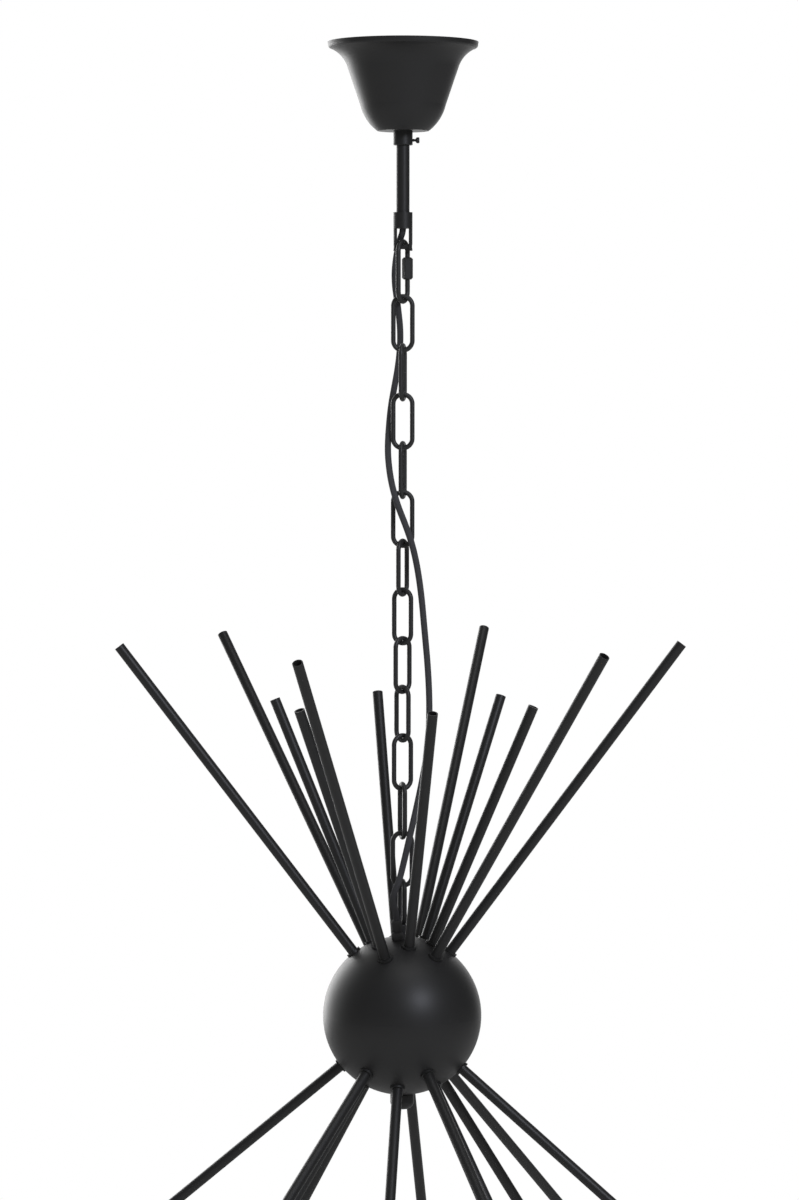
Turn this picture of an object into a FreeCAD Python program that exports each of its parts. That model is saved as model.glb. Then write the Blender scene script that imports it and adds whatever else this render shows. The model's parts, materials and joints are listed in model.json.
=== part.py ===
import FreeCAD, Part
import math
import os

# A twenty-four arm ball chandelier: a bell canopy at the ceiling, a stem, a yoke with a screw-lock
# quick link, twelve chain links with the supply cord laced through them, and a hollow ball that
# carries open decorative tubes above and lamp arms below.
# Millimetres. +Z is up, and the origin is on the ceiling plane, on the axis of the stem.

Vec = FreeCAD.Vector
UP = Vec(0, 0, 1)

# Clearances
FIT = 0.05           # round a thread or a pushed-in piece
SLIDE = 0.1          # round a piece that slides
SEAT = 0.02          # where a flat ring sits on the ball
CONTACT = 0.1        # between two hooked wires
NEAR = 1e-6          # two lengths this close are the same

# Ceiling bracket: a hat-shaped strap with one slot in each foot
BRACKET_LENGTH = 104.0
BRACKET_WIDTH = 20.0
BRACKET_SHEET = 2.0
BRACKET_DROP = 12.0
BRACKET_MIDDLE = 54.0
BRACKET_BEND = 1.0
MOUNT_SLOT_WIDTH = 4.6
MOUNT_SLOT_LENGTH = 12.0
MOUNT_SLOT_SPACING = 78.0

# Terminal block and earth screw under the bracket
BLOCK_SIZE = Vec(15.0, 19.0, 12.0)
BLOCK_OFFSET = 18.0
BLOCK_POLES = 3
BLOCK_WIRE_HOLE = 3.2
BLOCK_SCREW_WELL = 3.6
BLOCK_SCREW_LENGTH = 5.0
BLOCK_SCREW_SPACING = 8.0
EARTH_SCREW_OFFSET = 17.0
EARTH_SCREW_SHANK = 4.0
EARTH_SCREW_HEAD = 7.5
EARTH_SCREW_HEAD_HEIGHT = 2.6
EARTH_SCREW_LENGTH = 8.0
DRIVER_SLOT = 0.8

# Stem, its nuts and washers
STEM_DIAMETER = 10.3
STEM_BORE = 8.0
STEM_ABOVE_NUT = 1.5
STEM_IN_YOKE = 11.5
STEM_NUT_FLATS = 14.0
STEM_NUT_HEIGHT = 4.0
STEM_WASHER_DIAMETER = 16.0
STEM_WASHER_SHEET = 1.0

# Canopy: outline radius at depths below the ceiling
CANOPY_HEIGHT = 68.6
CANOPY_RIM_RADIUS = 58.5
CANOPY_LIP_START = Vec(58.1, 0, -2.5)
CANOPY_LIP_MIDDLE = Vec(57.6, 0, -3.9)
CANOPY_LIP_END = Vec(56.2, 0, -4.7)
CANOPY_FLARE_MIDDLE = Vec(47.7, 0, -11.0)
CANOPY_FLARE_END = Vec(43.2, 0, -19.0)
CANOPY_BODY_END = Vec(33.2, 0, -48.5)
CANOPY_SHOULDER_MIDDLE = Vec(28.3, 0, -59.8)
CANOPY_FOOT_RADIUS = 20.0
CANOPY_WALL = 1.2
CANOPY_HOLE_CLEARANCE = 0.3

# Collar under the canopy and its thumb screw
COLLAR_DIAMETER = 15.0
COLLAR_HEIGHT = 11.0
COLLAR_EDGE = 0.5
THUMB_SCREW_SHANK = 2.4
THUMB_SCREW_REACH = 10.2
THUMB_SCREW_HEAD = 4.6
THUMB_SCREW_HEAD_LENGTH = 2.6
THUMB_SCREW_DROP = 7.2
THUMB_SCREW_PINCH = 3.2

# Yoke on the stem's lower end, and its cross pin
YOKE_DIAMETER = 14.9
YOKE_TOP = -131.5
YOKE_COLLAR_HEIGHT = 12.5
YOKE_SLOT = 9.0
YOKE_EAR_WIDTH = 6.4
YOKE_PIN_DROP = 14.1
YOKE_PIN_DIAMETER = 4.0

# Quick link
QUICK_LENGTH = 50.3
QUICK_WIDTH = 20.0
QUICK_WIRE = 3.9
QUICK_GAP = 6.0
QUICK_GAP_DROP = 14.8
QUICK_TURN = 64.0
SLEEVE_FLATS = 7.6
SLEEVE_LENGTH = 17.2
SLEEVE_LAP = 0.8
SLEEVE_CORNERS = 8.5
SLEEVE_BEVEL = 1.3

# Chain
LINK_LENGTH = 45.5
LINK_WIDTH = 18.5
LINK_WIRE = 3.7
LINK_SPLIT = 0.1
LINK_SPLIT_SLANT = 12.0
LINK_TURNS = [0, 79, 0, 79, 0, 64, -28, 44, 129, 28, -75, 0]

# Ball, its hook, finial and centre rod
BALL_RADIUS = 62.0
BALL_WALL = 1.2
BALL_LIP_HEIGHT = 4.0
BALL_LIP_WALL = 1.2
HOOK_WIRE = 3.9
HOOK_WIDTH = 18.0
HOOK_LOOP_LENGTH = 37.8
HOOK_LOOP_SINK = 2.0
HOOK_BASE_DIAMETER = 11.0
HOOK_BASE_HEIGHT = 10.0
HOOK_BASE_EDGE = 1.0
HOOK_TURN = -76.0
ROD_DIAMETER = 8.0
ROD_IN_HOOK = 7.0
ROD_IN_FINIAL = 6.0
ROD_NUT_FLATS = 11.0
ROD_NUT_HEIGHT = 4.0
FINIAL_DIAMETER = 18.6
FINIAL_BAND = 3.0
FINIAL_HEIGHT = 11.7
FINIAL_EDGE = 6.0

# Arms: lengths outside the ball, and (tilt from straight up or straight down, azimuth) of each
ARM_DIAMETER = 8.2
ARM_BORE = 6.2
ARM_IN_BALL = 8.0
FLANGE_DIAMETER = 11.6
FLANGE_HEIGHT = 1.8
ARM_NUT_FLATS = 12.0
ARM_NUT_HEIGHT = 3.0
UPPER_LONG_LENGTH = 302.0
UPPER_LONG_WAYS = [(36.8, 1.1), (36.4, 71.9), (37.1, 132.3), (37.4, 179.9), (37.5, 249.9), (36.9, 313.4)]
UPPER_SHORT_LENGTH = 205.0
UPPER_SHORT_WAYS = [(22.7, 40.6), (22.4, 101.5), (22.7, 167.0), (23.7, 223.0), (23.7, 282.4), (23.6, 341.1)]
LOWER_OUTER_LENGTH = 302.0
LOWER_OUTER_WAYS = [(50.2, 53.6), (50.2, 114.0), (50.1, 173.7), (50.2, 234.6), (50.2, 294.7), (49.4, 349.9)]
LOWER_INNER_LENGTH = 205.0
LOWER_INNER_WAYS = [(33.3, 25.4), (33.3, 81.9), (33.3, 139.2), (33.3, 204.0), (33.3, 264.0), (33.3, 318.0)]

# Lampholders and lamps at the ends of the lower arms
CUP_DIAMETER = 27.0
CUP_LENGTH = 52.0
CUP_WALL = 1.2
CUP_END = 2.0
CUP_EDGE = 3.0
CUP_ON_ARM = 6.0
INSERT_RECESS = 0.5
SOCKET_DIAMETER = 14.2
SOCKET_DEPTH = 24.0
CAP_DIAMETER = 13.8
CAP_LENGTH = 23.0
CAP_CONTACT_DIAMETER = 7.0
CAP_CONTACT_HEIGHT = 2.0
GLASS_NECK_DIAMETER = 13.2
GLASS_NECK_LENGTH = 6.0
GLASS_DIAMETER = 45.0
GLASS_LENGTH = 52.0
GLASS_WALL = 0.8
GLASS_NECK_FLARE = 0.4
GLASS_HOLLOW = 1.0
GLASS_JOINT_ANGLE = 40.0

# Wiring inside the ball
TERMINAL_DIAMETER = 36.0
TERMINAL_HEIGHT = 32.0
LEAD_DIAMETER = 3.2

# Strain relief on top of the ball, and the supply cord
GLAND_TILT = 10.8
GLAND_TURN = 252.5
GLAND_HEIGHT = 16.2
GLAND_TOP_DIAMETER = 8.0
GLAND_BASE_DIAMETER = 9.4
GLAND_FLANGE_HEIGHT = 5.4
GLAND_STEP = 0.5
GLAND_EDGE = 0.8
GLAND_NECK_DIAMETER = 6.8
GLAND_LIP_DIAMETER = 7.6
GLAND_LIP_HEIGHT = 2.0
CORD_DIAMETER = 5.0
CORD_ARC_SHARE = 0.45
CORD_ROUTE = [
    (0.0, 1.0, -134.0),
    (0.4, 0.9, -145.2),
    (-2.0, 5.4, -151.6),
    (-3.9, 7.5, -158.8),
    (-5.4, 6.6, -167.0),
    (-6.5, 4.6, -178.0),
    (-6.1, 4.4, -188.5),
    (-4.6, 6.0, -198.5),
    (-3.4, 7.4, -208.5),
    (-2.2, 9.0, -219.0),
    (-1.9, 11.0, -230.0),
    (-2.6, 12.8, -241.5),
    (-4.2, 12.6, -254.0),
    (-6.6, 10.2, -267.0),
    (-9.3, 8.0, -282.0),
    (-10.9, 5.8, -299.0),
    (-11.8, 2.0, -316.0),
    (-10.4, -3.6, -332.0),
    (-7.7, -8.2, -346.0),
    (-3.4, -9.8, -360.0),
    (2.3, -9.2, -374.0),
    (7.8, -6.6, -390.0),
    (11.9, -3.8, -409.0),
    (14.9, -1.6, -431.0),
    (17.2, -0.6, -457.0),
    (20.0, -0.4, -487.0),
    (21.3, -1.2, -519.0),
    (19.9, -2.8, -549.0),
    (14.8, -5.4, -577.0),
    (9.5, -9.2, -601.0),
    (4.8, -11.2, -621.0),
    (0.9, -11.4, -638.0),
    (-2.2, -12.2, -650.5),
    (-5.2, -13.6, -657.5),
    (-7.2, -14.6, -664.5),
    (-6.4, -15.2, -671.5),
]
CORD_LEAD_IN = 3.5
CORD_IN_GLAND = 17.0

# Heights that follow from the sizes above
BRACKET_UNDER = -(BRACKET_DROP + BRACKET_SHEET)
STEM_TOP = STEM_WASHER_SHEET + STEM_NUT_HEIGHT + STEM_ABOVE_NUT - BRACKET_DROP
STEM_END = YOKE_TOP - STEM_IN_YOKE
YOKE_FACE = YOKE_TOP - YOKE_COLLAR_HEIGHT
PIN_Z = YOKE_FACE - YOKE_PIN_DROP
QUICK_TOP = PIN_Z + YOKE_PIN_DIAMETER / 2 + CONTACT + QUICK_WIRE
QUICK_BOTTOM = QUICK_TOP - QUICK_LENGTH
LINK_TOP = QUICK_BOTTOM + QUICK_WIRE + CONTACT + LINK_WIRE
LINK_PITCH = LINK_LENGTH - 2 * LINK_WIRE - CONTACT
CHAIN_BOTTOM = LINK_TOP - LINK_PITCH * (len(LINK_TURNS) - 1) - LINK_LENGTH
HOOK_TOP = CHAIN_BOTTOM + LINK_WIRE + CONTACT + HOOK_WIRE
HOOK_SEAT = math.sqrt(BALL_RADIUS ** 2 - (ROD_DIAMETER / 2) ** 2) + SEAT
BALL_Z = HOOK_TOP - HOOK_LOOP_LENGTH + HOOK_LOOP_SINK - HOOK_BASE_HEIGHT - HOOK_SEAT
BALL_CENTRE = Vec(0, 0, BALL_Z)
BALL_INSIDE = BALL_RADIUS - BALL_WALL


def cylinder(diameter, low, high, x=0.0, y=0.0):
    """An upright cylinder between two heights."""
    return Part.makeCylinder(diameter / 2, high - low, Vec(x, y, low), UP)


def tube(outer, inner, low, high):
    """An upright tube between two heights."""
    return cylinder(outer, low, high).cut(cylinder(inner, low - 1, high + 1))


def along_x(diameter, start, end, z):
    """A level cylinder along X, in the plane y = 0."""
    return Part.makeCylinder(diameter / 2, end - start, Vec(start, 0, z), Vec(1, 0, 0))


def block(size, centre):
    """A box by its size and centre."""
    return Part.makeBox(size.x, size.y, size.z, centre - size * 0.5)


def hexagon(flats, low, high, bore):
    """A hexagon nut between two heights, with a plain bore."""
    corner = flats / math.sqrt(3)
    ring = [Vec(corner * math.cos(math.radians(60 * k)), corner * math.sin(math.radians(60 * k)), low)
            for k in range(7)]
    nut = Part.Face(Part.makePolygon(ring)).extrude(Vec(0, 0, high - low))
    return nut.cut(cylinder(bore, low - 1, high + 1))


def turned(shape, degrees, height=0.0):
    """A copy turned about the stem's axis and set at a height."""
    copy = shape.copy()
    way = FreeCAD.Placement(Vec(0, 0, height), FreeCAD.Rotation(UP, degrees))
    copy.Placement = way.multiply(shape.Placement)
    return copy


def heading(tilt, turn):
    """The unit vector at a tilt from straight up and a turn from +X."""
    flat = math.sin(math.radians(tilt))
    return Vec(flat * math.cos(math.radians(turn)), flat * math.sin(math.radians(turn)),
               math.cos(math.radians(tilt)))


def on_ball(shape, tilt, turn):
    """A copy of a shape drawn up the +Z axis from the ball's centre, pointed along a heading."""
    copy = shape.copy()
    copy.Placement = FreeCAD.Placement(BALL_CENTRE, FreeCAD.Rotation(UP, heading(tilt, turn)))
    return copy


def upper_headings():
    """(tilt, turn, length outside the ball) of the tubes above."""
    long_ones = [(tilt, turn, UPPER_LONG_LENGTH) for tilt, turn in UPPER_LONG_WAYS]
    short_ones = [(tilt, turn, UPPER_SHORT_LENGTH) for tilt, turn in UPPER_SHORT_WAYS]
    return long_ones + short_ones


def lower_headings():
    """(tilt, turn, length outside the ball) of the lamp arms below."""
    outer = [(180 - tilt, turn, LOWER_OUTER_LENGTH) for tilt, turn in LOWER_OUTER_WAYS]
    inner = [(180 - tilt, turn, LOWER_INNER_LENGTH) for tilt, turn in LOWER_INNER_WAYS]
    return outer + inner


def ceiling_bracket():
    """The hat-shaped strap, bent from flat bar, with slotted feet against the ceiling."""
    end = BRACKET_LENGTH / 2
    inner = BRACKET_MIDDLE / 2
    outer = inner + BRACKET_SHEET
    side = -BRACKET_WIDTH / 2
    corners = [(end, 0), (inner, 0), (inner, -BRACKET_DROP), (-inner, -BRACKET_DROP), (-inner, 0), (-end, 0),
               (-end, -BRACKET_SHEET), (-outer, -BRACKET_SHEET), (-outer, BRACKET_UNDER),
               (outer, BRACKET_UNDER), (outer, -BRACKET_SHEET), (end, -BRACKET_SHEET), (end, 0)]
    outline = Part.makePolygon([Vec(x, side, z) for x, z in corners])
    strap = Part.Face(outline).extrude(Vec(0, BRACKET_WIDTH, 0))
    outside = [(inner, 0), (-inner, 0), (outer, BRACKET_UNDER), (-outer, BRACKET_UNDER)]
    inside = [(outer, -BRACKET_SHEET), (-outer, -BRACKET_SHEET), (inner, -BRACKET_DROP),
              (-inner, -BRACKET_DROP)]
    strap = strap.makeFillet(BRACKET_BEND + BRACKET_SHEET, bend_edges(strap, outside))
    strap = strap.makeFillet(BRACKET_BEND, bend_edges(strap, inside))
    strap = strap.cut(cylinder(STEM_DIAMETER + 2 * SLIDE, BRACKET_UNDER - 1, 0))
    strap = strap.cut(cylinder(EARTH_SCREW_SHANK + 2 * FIT, BRACKET_UNDER - 1, 0, EARTH_SCREW_OFFSET))
    for sign in (-1, 1):
        strap = strap.cut(mount_slot(sign * MOUNT_SLOT_SPACING / 2))
    return strap


def bend_edges(shape, places):
    """The edges of a strap that run along Y at the given (x, z) places."""
    found = []
    for edge in shape.Edges:
        middle = edge.CenterOfMass
        along_y = abs(edge.BoundBox.YLength - BRACKET_WIDTH) < NEAR and edge.BoundBox.XLength < NEAR
        if along_y and any(math.hypot(middle.x - x, middle.z - z) < NEAR for x, z in places):
            found.append(edge)
    return found


def mount_slot(x):
    """The cutter for one slot in a foot of the bracket."""
    half = (MOUNT_SLOT_LENGTH - MOUNT_SLOT_WIDTH) / 2
    middle = block(Vec(2 * half, MOUNT_SLOT_WIDTH, 4 * BRACKET_SHEET), Vec(x, 0, 0))
    ends = [cylinder(MOUNT_SLOT_WIDTH, -2 * BRACKET_SHEET, 2 * BRACKET_SHEET, x + s * half) for s in (-1, 1)]
    return middle.fuse(ends)


def block_poles():
    """The Y places of the terminal block's poles."""
    pitch = BLOCK_SIZE.y / BLOCK_POLES
    return [pitch * (k - (BLOCK_POLES - 1) / 2) for k in range(BLOCK_POLES)]


def block_screw_places():
    """(x, y) of every screw in the terminal block."""
    half = BLOCK_SCREW_SPACING / 2
    return [(s * half - BLOCK_OFFSET, y) for y in block_poles() for s in (-1, 1)]


def terminal_block():
    """The moulded block under the bracket, with a wire hole and two screw wells for each pole."""
    middle = BRACKET_UNDER - BLOCK_SIZE.z / 2
    body = block(BLOCK_SIZE, Vec(-BLOCK_OFFSET, 0, middle))
    for y in block_poles():
        start = Vec(-BLOCK_OFFSET - BLOCK_SIZE.x, y, middle)
        body = body.cut(Part.makeCylinder(BLOCK_WIRE_HOLE / 2, 2 * BLOCK_SIZE.x, start, Vec(1, 0, 0)))
    under = BRACKET_UNDER - BLOCK_SIZE.z
    for x, y in block_screw_places():
        body = body.cut(cylinder(BLOCK_SCREW_WELL, under - 1, middle, x, y))
    return body


def terminal_screws():
    """The slotted screws in the terminal block's wells."""
    under = BRACKET_UNDER - BLOCK_SIZE.z
    screws = []
    for x, y in block_screw_places():
        low = under + DRIVER_SLOT
        screw = cylinder(BLOCK_SCREW_WELL - 2 * FIT, low, low + BLOCK_SCREW_LENGTH - DRIVER_SLOT, x, y)
        slot = block(Vec(BLOCK_SCREW_WELL, DRIVER_SLOT, DRIVER_SLOT), Vec(x, y, low))
        screws.append(screw.cut(slot))
    return Part.makeCompound(screws)


def earth_screw():
    """The slotted earth screw through the bracket."""
    under = BRACKET_UNDER - EARTH_SCREW_HEAD_HEIGHT
    head = cylinder(EARTH_SCREW_HEAD, under, BRACKET_UNDER, EARTH_SCREW_OFFSET)
    head = head.makeFillet(EARTH_SCREW_HEAD_HEIGHT / 3, [lowest_edge(head)])
    shank = cylinder(EARTH_SCREW_SHANK, BRACKET_UNDER, BRACKET_UNDER + EARTH_SCREW_LENGTH, EARTH_SCREW_OFFSET)
    slot = block(Vec(2 * EARTH_SCREW_HEAD, DRIVER_SLOT, 2 * DRIVER_SLOT), Vec(EARTH_SCREW_OFFSET, 0, under))
    return head.fuse(shank).cut(slot).removeSplitter()


def lowest_edge(shape):
    """The ring edge with the lowest centre."""
    rings = [edge for edge in shape.Edges if edge.BoundBox.ZLength < NEAR]
    return min(rings, key=lambda edge: edge.CenterOfMass.z)


def highest_edge(shape):
    """The ring edge with the highest centre."""
    rings = [edge for edge in shape.Edges if edge.BoundBox.ZLength < NEAR]
    return max(rings, key=lambda edge: edge.CenterOfMass.z)


def stem_washers():
    """One washer above the bracket's middle and one below it."""
    bore = STEM_DIAMETER + 2 * SLIDE
    above = tube(STEM_WASHER_DIAMETER, bore, -BRACKET_DROP, STEM_WASHER_SHEET - BRACKET_DROP)
    below = tube(STEM_WASHER_DIAMETER, bore, BRACKET_UNDER - STEM_WASHER_SHEET, BRACKET_UNDER)
    return Part.makeCompound([above, below])


def stem_nuts():
    """The two nuts that clamp the stem to the bracket."""
    bore = STEM_DIAMETER + 2 * FIT
    low = STEM_WASHER_SHEET - BRACKET_DROP
    above = hexagon(STEM_NUT_FLATS, low, low + STEM_NUT_HEIGHT, bore)
    high = BRACKET_UNDER - STEM_WASHER_SHEET
    below = hexagon(STEM_NUT_FLATS, high - STEM_NUT_HEIGHT, high, bore)
    return Part.makeCompound([above, below])


def stem_tube():
    """The threaded tube from the bracket to the yoke."""
    return tube(STEM_DIAMETER, STEM_BORE, STEM_END, STEM_TOP)


def canopy():
    """The spun bell, open at the ceiling, with a flat foot that sits on the collar."""
    foot = Vec(CANOPY_FOOT_RADIUS, 0, -CANOPY_HEIGHT)
    edges = [
        Part.makeLine(Vec(0, 0, 0), Vec(CANOPY_RIM_RADIUS, 0, 0)),
        Part.makeLine(Vec(CANOPY_RIM_RADIUS, 0, 0), CANOPY_LIP_START),
        Part.Arc(CANOPY_LIP_START, CANOPY_LIP_MIDDLE, CANOPY_LIP_END).toShape(),
        Part.Arc(CANOPY_LIP_END, CANOPY_FLARE_MIDDLE, CANOPY_FLARE_END).toShape(),
        Part.makeLine(CANOPY_FLARE_END, CANOPY_BODY_END),
        Part.Arc(CANOPY_BODY_END, CANOPY_SHOULDER_MIDDLE, foot).toShape(),
        Part.makeLine(foot, Vec(0, 0, -CANOPY_HEIGHT)),
        Part.makeLine(Vec(0, 0, -CANOPY_HEIGHT), Vec(0, 0, 0)),
    ]
    bell = Part.Face(Part.Wire(edges)).revolve(Vec(0, 0, 0), UP, 360)
    bell = Part.Solid(bell) if bell.ShapeType == "Shell" else bell
    top = max(bell.Faces, key=lambda face: face.CenterOfMass.z)
    hollow = bell.makeThickness([top], -CANOPY_WALL, NEAR)
    return hollow.cut(cylinder(STEM_DIAMETER + 2 * CANOPY_HOLE_CLEARANCE, -CANOPY_HEIGHT - 1, 0))


def thumb_screw_z():
    """The height of the thumb screw's axis."""
    return -CANOPY_HEIGHT - THUMB_SCREW_DROP


def canopy_collar():
    """The ring that holds the canopy up, with a threaded hole for its screw."""
    low = -CANOPY_HEIGHT - COLLAR_HEIGHT
    ring = cylinder(COLLAR_DIAMETER, low, -CANOPY_HEIGHT)
    ring = ring.makeFillet(COLLAR_EDGE, [lowest_edge(ring)])
    ring = ring.cut(cylinder(STEM_DIAMETER + 2 * SLIDE, low - 1, 1 - CANOPY_HEIGHT))
    return ring.cut(along_x(THUMB_SCREW_SHANK + 2 * FIT, 0, COLLAR_DIAMETER, thumb_screw_z()))


def thumb_screw():
    """The small screw that clamps the collar on the stem, with flats on its head for fingers."""
    tip = THUMB_SCREW_REACH + THUMB_SCREW_HEAD_LENGTH
    shank = along_x(THUMB_SCREW_SHANK, STEM_DIAMETER / 2 + SEAT, THUMB_SCREW_REACH, thumb_screw_z())
    head = along_x(THUMB_SCREW_HEAD, THUMB_SCREW_REACH, tip, thumb_screw_z())
    flats = block(Vec(2 * tip, THUMB_SCREW_PINCH, THUMB_SCREW_HEAD), Vec(0, 0, thumb_screw_z()))
    return shank.fuse(head.common(flats)).removeSplitter()


def yoke():
    """The fork screwed on the stem: a round collar and two ears with a cross hole."""
    reach = YOKE_DIAMETER / 2
    middle = YOKE_FACE - YOKE_PIN_DROP / 2
    collar = cylinder(YOKE_DIAMETER, YOKE_FACE, YOKE_TOP)
    bar = cylinder(YOKE_DIAMETER, PIN_Z - YOKE_EAR_WIDTH / 2, YOKE_FACE)
    strip = block(Vec(YOKE_DIAMETER, YOKE_EAR_WIDTH, YOKE_PIN_DROP), Vec(0, 0, middle))
    ears = bar.common(strip.fuse(along_x(YOKE_EAR_WIDTH, -reach, reach, PIN_Z)))
    gap = block(Vec(YOKE_SLOT, YOKE_DIAMETER, 2 * YOKE_PIN_DROP), Vec(0, 0, YOKE_FACE - YOKE_PIN_DROP))
    body = collar.fuse(ears).removeSplitter().cut(gap)
    body = body.cut(cylinder(STEM_DIAMETER + 2 * FIT, STEM_END, YOKE_TOP + 1))
    body = body.cut(cylinder(STEM_BORE, YOKE_FACE - 1, YOKE_TOP))
    return body.cut(along_x(YOKE_PIN_DIAMETER + 2 * FIT, -2 * reach, 2 * reach, PIN_Z))


def yoke_pin():
    """The riveted cross pin, flush with the ears."""
    reach = math.sqrt(YOKE_DIAMETER ** 2 - YOKE_PIN_DIAMETER ** 2) / 2
    return along_x(YOKE_PIN_DIAMETER, -reach, reach, PIN_Z)


def oval(length, width, wire):
    """A closed ring of round wire in the XZ plane, with its outer top at z = 0."""
    radius = (width - wire) / 2
    high = -width / 2
    low = width / 2 - length
    section = Part.Face(Part.Wire(Part.makeCircle(wire / 2, Vec(radius, 0, high), UP)))
    top = section.revolve(Vec(0, 0, high), Vec(0, 1, 0), -180)
    section = Part.Face(Part.Wire(Part.makeCircle(wire / 2, Vec(radius, 0, low), UP)))
    bottom = section.revolve(Vec(0, 0, low), Vec(0, 1, 0), 180)
    sides = [cylinder(wire, low, high, s * radius) for s in (-1, 1)]
    return top.fuse([bottom] + sides).removeSplitter()


def chain_link():
    """One link: a bent wire oval whose ends meet in the middle of a side."""
    ring = oval(LINK_LENGTH, LINK_WIDTH, LINK_WIRE)
    place = Vec((LINK_WIDTH - LINK_WIRE) / 2, 0, -LINK_LENGTH / 2)
    split = block(Vec(2 * LINK_WIRE, 3 * LINK_WIRE, LINK_SPLIT), Vec(0, 0, 0))
    split.Placement = FreeCAD.Placement(place, FreeCAD.Rotation(Vec(1, 0, 0), LINK_SPLIT_SLANT))
    return ring.cut(split)


def quick_link():
    """The oval hook that joins the yoke to the chain, with a gap in its +X side."""
    ring = oval(QUICK_LENGTH, QUICK_WIDTH, QUICK_WIRE)
    side = (QUICK_WIDTH - QUICK_WIRE) / 2
    gap = block(Vec(2 * QUICK_WIRE, 2 * QUICK_WIRE, QUICK_GAP), Vec(side, 0, -QUICK_GAP_DROP - QUICK_GAP / 2))
    return turned(ring.cut(gap), QUICK_TURN, QUICK_TOP)


def quick_link_sleeve():
    """The hexagon sleeve that closes the quick link's gap, with bevelled ends."""
    high = SLEEVE_LAP - QUICK_GAP_DROP
    low = high - SLEEVE_LENGTH
    blank = cylinder(SLEEVE_CORNERS, low, high)
    blank = blank.makeChamfer(SLEEVE_BEVEL, [lowest_edge(blank), highest_edge(blank)])
    sleeve = blank.common(hexagon(SLEEVE_FLATS, low, high, QUICK_WIRE + 2 * SLIDE))
    sleeve.translate(Vec((QUICK_WIDTH - QUICK_WIRE) / 2, 0, 0))
    return turned(sleeve, QUICK_TURN, QUICK_TOP)


def ball_hook():
    """The cast eye on top of the ball: an oval loop on a round base with a blind threaded bore."""
    loop = oval(HOOK_LOOP_LENGTH, HOOK_WIDTH, HOOK_WIRE)
    base_top = HOOK_LOOP_SINK - HOOK_LOOP_LENGTH
    base_low = base_top - HOOK_BASE_HEIGHT
    base = cylinder(HOOK_BASE_DIAMETER, base_low, base_top)
    base = base.makeFillet(HOOK_BASE_EDGE, [highest_edge(base)])
    bore = cylinder(ROD_DIAMETER + 2 * FIT, base_low - 1, base_low + ROD_IN_HOOK)
    return turned(loop.fuse(base).cut(bore).removeSplitter(), HOOK_TURN, HOOK_TOP)


def ball_half(upper):
    """One half of the ball's shell, with its arm holes. The lower half has the lip that joins them."""
    sign = 1 if upper else -1
    size = Vec(2 * BALL_RADIUS, 2 * BALL_RADIUS, BALL_RADIUS)
    shell = Part.makeSphere(BALL_RADIUS).cut(Part.makeSphere(BALL_INSIDE))
    half = shell.common(block(size, Vec(0, 0, sign * size.z / 2)))
    if not upper:
        outer = 2 * math.sqrt(BALL_INSIDE ** 2 - BALL_LIP_HEIGHT ** 2) - 2 * SLIDE
        inner = 2 * (BALL_INSIDE - BALL_LIP_WALL)
        root = tube(2 * BALL_INSIDE + BALL_WALL, inner, -BALL_LIP_HEIGHT, 0)
        half = half.fuse([root, tube(outer, inner, 0, BALL_LIP_HEIGHT)]).removeSplitter()
    half.translate(BALL_CENTRE)
    reach = 2 * BALL_RADIUS
    cutters = [on_ball(cylinder(ROD_DIAMETER + 2 * SLIDE, 0, reach), 90 - 90 * sign, 0)]
    headings = upper_headings() if upper else lower_headings()
    for tilt, turn, length in headings:
        cutters.append(on_ball(cylinder(ARM_DIAMETER + 2 * SLIDE, BALL_RADIUS / 2, reach), tilt, turn))
    if upper:
        cutters.append(on_ball(cylinder(GLAND_NECK_DIAMETER + 2 * FIT, 0, reach), GLAND_TILT, GLAND_TURN))
    return half.cut(cutters)


def centre_rod():
    """The threaded rod that draws the two halves together between the hook and the finial."""
    high = BALL_Z + HOOK_SEAT + ROD_IN_HOOK - FIT
    low = BALL_Z - HOOK_SEAT - ROD_IN_FINIAL + FIT
    return cylinder(ROD_DIAMETER, low, high)


def nut_face(flats):
    """How far from the ball's centre a nut's outer face lies when its corners touch the shell."""
    return math.sqrt(BALL_INSIDE ** 2 - (flats ** 2) / 3) - SEAT


def rod_nuts():
    """Four nuts on the centre rod: one inside each half, and one at each end of the terminal drum."""
    bore = ROD_DIAMETER + 2 * FIT
    face = nut_face(ROD_NUT_FLATS)
    drum = TERMINAL_HEIGHT / 2
    outer = hexagon(ROD_NUT_FLATS, face - ROD_NUT_HEIGHT, face, bore)
    inner = hexagon(ROD_NUT_FLATS, drum, drum + ROD_NUT_HEIGHT, bore)
    return Part.makeCompound([on_ball(nut, tilt, 0) for nut in (outer, inner) for tilt in (0, 180)])


def finial():
    """The domed knob nut under the ball."""
    knob = cylinder(FINIAL_DIAMETER, HOOK_SEAT, HOOK_SEAT + FINIAL_HEIGHT)
    dome = knob.makeFillet(FINIAL_EDGE, [highest_edge(knob)])
    dome = dome.cut(cylinder(ROD_DIAMETER + 2 * FIT, 0, HOOK_SEAT + ROD_IN_FINIAL))
    return on_ball(dome, 180, 0)


def arm(length):
    """One bare tube from inside the ball outwards."""
    return tube(ARM_DIAMETER, ARM_BORE, BALL_RADIUS - ARM_IN_BALL, BALL_RADIUS + length)


def ring_of_arms(headings):
    """A group of arms."""
    return Part.makeCompound([on_ball(arm(length), tilt, turn) for tilt, turn, length in headings])


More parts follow.
